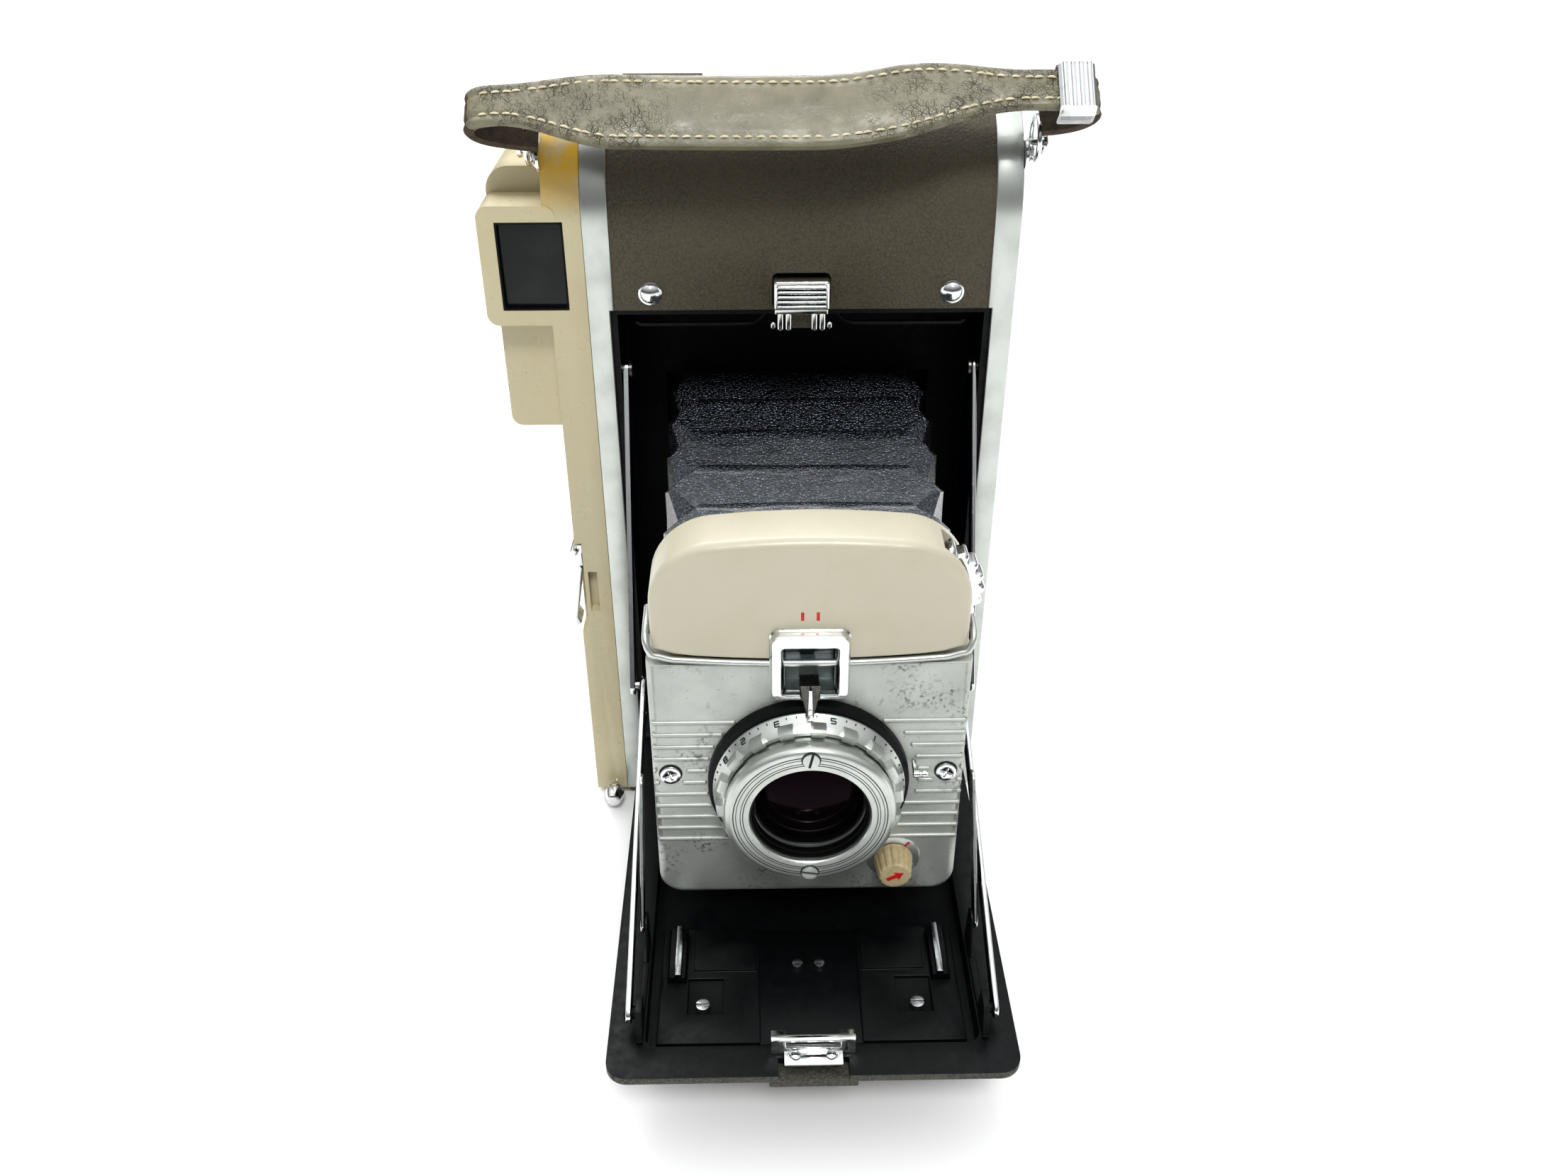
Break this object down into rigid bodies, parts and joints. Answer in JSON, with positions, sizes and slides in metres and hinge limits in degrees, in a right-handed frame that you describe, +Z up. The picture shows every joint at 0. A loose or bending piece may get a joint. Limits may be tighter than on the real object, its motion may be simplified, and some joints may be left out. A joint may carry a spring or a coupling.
{
  "type": "folding instant camera",
  "caption": "Folding roll-film instant camera standing open: rounded body, drop bed with struts, bellows, lens standard, side finder, strap and hinged back.",
  "frame": {"origin": "centre of the body's base, at the mouth of the tripod socket", "axes": "+X to the right as seen from the front, -Y towards the lens, +Z up"},
  "size_m": [0.1435, 0.1839, 0.2145],
  "materials": {
    "body_casting": "black wrinkle paint",
    "satin_aluminium": "satin brushed",
    "taupe_covering": "pebbled leatherette",
    "black_metal": "satin black",
    "bright_chrome": "polished",
    "cream_plastic": "satin, slightly aged",
    "cap_enamel": "satin enamel",
    "clear_glass": "dark polished",
    "coated_glass": "coated",
    "bellows_leather": "black grained",
    "strap_leather": "worn, stitched",
    "knob_plastic": "satin",
    "roll_paper": "matt paper",
    "steel_roller": "polished steel"
  },
  "bodies": {
    "camera_body": {"body_shell": "body_casting", "side_trim_left": "satin_aluminium", "side_trim_right": "satin_aluminium", "front_panel": "taupe_covering", "lower_front_panel": "taupe_covering", "opening_bezel": "black_metal", "panel_rivets": "bright_chrome", "catch_strike": "bright_chrome", "latch_spring": "black_metal", "film_gate": "black_metal", "finder_housing": "cream_plastic", "finder_window": "clear_glass", "finder_eyepiece": "black_metal", "accessory_clip": "bright_chrome", "strap_lugs": "bright_chrome", "tripod_bush": "bright_chrome", "hinge_pins": "bright_chrome", "cover_hinge": "bright_chrome", "bellows": "bellows_leather"},
    "bed": {"bed_shell": "black_metal", "focus_rails": "bright_chrome", "bed_front_plate": "black_metal", "bed_fasteners": "bright_chrome", "catch_bracket": "bright_chrome", "strut_brackets": "bright_chrome"},
    "upper_struts": {"upper_strut_left": "bright_chrome", "upper_strut_right": "bright_chrome"},
    "lower_struts": {"lower_strut_left": "bright_chrome", "lower_strut_right": "bright_chrome"},
    "standard_braces": {"brace_left": "bright_chrome", "brace_right": "bright_chrome"},
    "front_standard": {"shutter_housing": "satin_aluminium", "back_plate": "black_metal", "top_cap": "cap_enamel", "window_frame": "bright_chrome", "window_glass": "clear_glass", "focus_pointer": "bright_chrome", "face_screws": "bright_chrome", "dial_plate": "bright_chrome", "lens_base_ring": "black_metal", "rear_lens": "coated_glass"},
    "focus_group": {"focus_ring": "bright_chrome"},
    "lens_cell": {"front_ring": "bright_chrome", "front_lens": "coated_glass"},
    "stop_disc": {"aperture_disc": "black_metal"},
    "ev_wheel": {"exposure_wheel": "bright_chrome"},
    "dial_knob": {"speed_knob": "knob_plastic"},
    "release_lever": {"shutter_lever": "bright_chrome"},
    "bed_button": {"latch_button": "bright_chrome"},
    "side_button": {"release_button": "bright_chrome"},
    "clip_plate": {"accessory_plate": "bright_chrome"},
    "back_cover": {"rear_cover": "taupe_covering"},
    "back_door": {"print_door": "taupe_covering"},
    "roller_upper": {"spreader_roller_upper": "steel_roller"},
    "roller_lower": {"spreader_roller_lower": "steel_roller"},
    "film_roll": {"negative_roll": "roll_paper"},
    "paper_roll": {"print_roll": "roll_paper"},
    "strap": {"carry_strap": "strap_leather", "strap_rings": "bright_chrome", "strap_slide": "bright_chrome"}
  },
  "joints": [
    {"name": "bed_fold", "type": "hinge", "parent": "camera_body", "child": "bed", "pos_m": [0, -0.0255, 0.03], "axis": [-1, 0, 0], "range_deg": [0, 90], "deforming": ["bellows"]},
    {"name": "standard_fold", "type": "hinge", "parent": "bed", "child": "front_standard", "pos_m": [0, -0.0685, 0.075], "axis": [1, 0, 0], "range_deg": [0, 90]},
    {"name": "upper_strut_fold", "type": "hinge", "parent": "camera_body", "child": "upper_struts", "pos_m": [0, -0.0235, 0.14], "axis": [1, 0, 0], "range_deg": [0, 26.82]},
    {"name": "lower_strut_fold", "type": "hinge", "parent": "bed", "child": "lower_struts", "pos_m": [0, -0.1389, 0.033], "axis": [-1, 0, 0], "range_deg": [0, 24.03]},
    {"name": "brace_fold", "type": "hinge", "parent": "bed", "child": "standard_braces", "pos_m": [0, -0.1165, 0.038], "axis": [-1, 0, 0], "range_deg": [0, 54.9]},
    {"name": "focus_turn", "type": "hinge", "parent": "front_standard", "child": "focus_group", "pos_m": [0, -0.105, 0.0704], "axis": [0, -1, 0], "range_deg": [-150, 0]},
    {"name": "focus_travel", "type": "slide", "parent": "front_standard", "child": "lens_cell", "axis": [0, -1, 0], "range_m": [-0.0012, 0]},
    {"name": "exposure_turn", "type": "hinge", "parent": "front_standard", "child": "ev_wheel", "pos_m": [0.0275, -0.0955, 0.12], "axis": [0, -1, 0], "range_deg": [0, 210]},
    {"name": "stop_turn", "type": "hinge", "parent": "front_standard", "child": "stop_disc", "pos_m": [-0.012, -0.0983, 0.062], "axis": [0, -1, 0], "range_deg": [0, 210]},
    {"name": "knob_turn", "type": "hinge", "parent": "front_standard", "child": "dial_knob", "pos_m": [0.021, -0.105, 0.045], "axis": [0, -1, 0], "range_deg": [0, 90]},
    {"name": "lever_press", "type": "hinge", "parent": "front_standard", "child": "release_lever", "pos_m": [0, -0.105, 0.0704], "axis": [0, 1, 0], "range_deg": [0, 12], "stiffness_Nm_per_rad": 0.05, "springref_deg": -11.46},
    {"name": "button_press", "type": "slide", "parent": "camera_body", "child": "bed_button", "axis": [0, 1, 0], "range_m": [0, 0.0015], "stiffness_N_per_m": 400, "springref_m": -0.002},
    {"name": "side_button_press", "type": "slide", "parent": "camera_body", "child": "side_button", "axis": [0, 1, 0], "range_m": [0, 0.0018], "stiffness_N_per_m": 400, "springref_m": -0.002},
    {"name": "clip_press", "type": "hinge", "parent": "camera_body", "child": "clip_plate", "pos_m": [-0.0608, -0.0245, 0.082], "axis": [0, -1, 0], "range_deg": [0, 4], "stiffness_Nm_per_rad": 0.2, "springref_deg": -5.73},
    {"name": "cover_open", "type": "hinge", "parent": "camera_body", "child": "back_cover", "pos_m": [0, 0.0096, 0.2043], "axis": [1, 0, 0], "range_deg": [0, 85]},
    {"name": "door_open", "type": "hinge", "parent": "back_cover", "child": "back_door", "pos_m": [0, 0.0301, 0.152], "axis": [1, 0, 0], "range_deg": [0, 80]},
    {"name": "upper_roller_turn", "type": "hinge", "parent": "back_cover", "child": "roller_upper", "pos_m": [0, 0.016, 0.175], "axis": [1, 0, 0], "continuous": true},
    {"name": "lower_roller_turn", "type": "hinge", "parent": "back_cover", "child": "roller_lower", "pos_m": [0, 0.016, 0.1657], "axis": [1, 0, 0], "continuous": true},
    {"name": "film_roll_turn", "type": "hinge", "parent": "camera_body", "child": "film_roll", "pos_m": [0, -0.014, 0.0145], "axis": [1, 0, 0], "continuous": true},
    {"name": "paper_roll_turn", "type": "hinge", "parent": "camera_body", "child": "paper_roll", "pos_m": [0, -0.006, 0.181], "axis": [1, 0, 0], "continuous": true},
    {"name": "strap_swing", "type": "hinge", "parent": "camera_body", "child": "strap", "pos_m": [0, -0.023, 0.196], "axis": [-1, 0, 0], "range_deg": [0, 60]}
  ],
  "couplings": [
    {"joint": "standard_fold", "follows": "bed_fold", "ratio": 1},
    {"joint": "upper_strut_fold", "follows": "bed_fold", "ratio": 0.29778},
    {"joint": "lower_strut_fold", "follows": "bed_fold", "ratio": 0.26667},
    {"joint": "brace_fold", "follows": "bed_fold", "ratio": 0.60889},
    {"joint": "focus_travel", "follows": "focus_turn", "m_per_rad": 0.00045837},
    {"joint": "stop_turn", "follows": "exposure_turn", "ratio": 1}
  ]
}
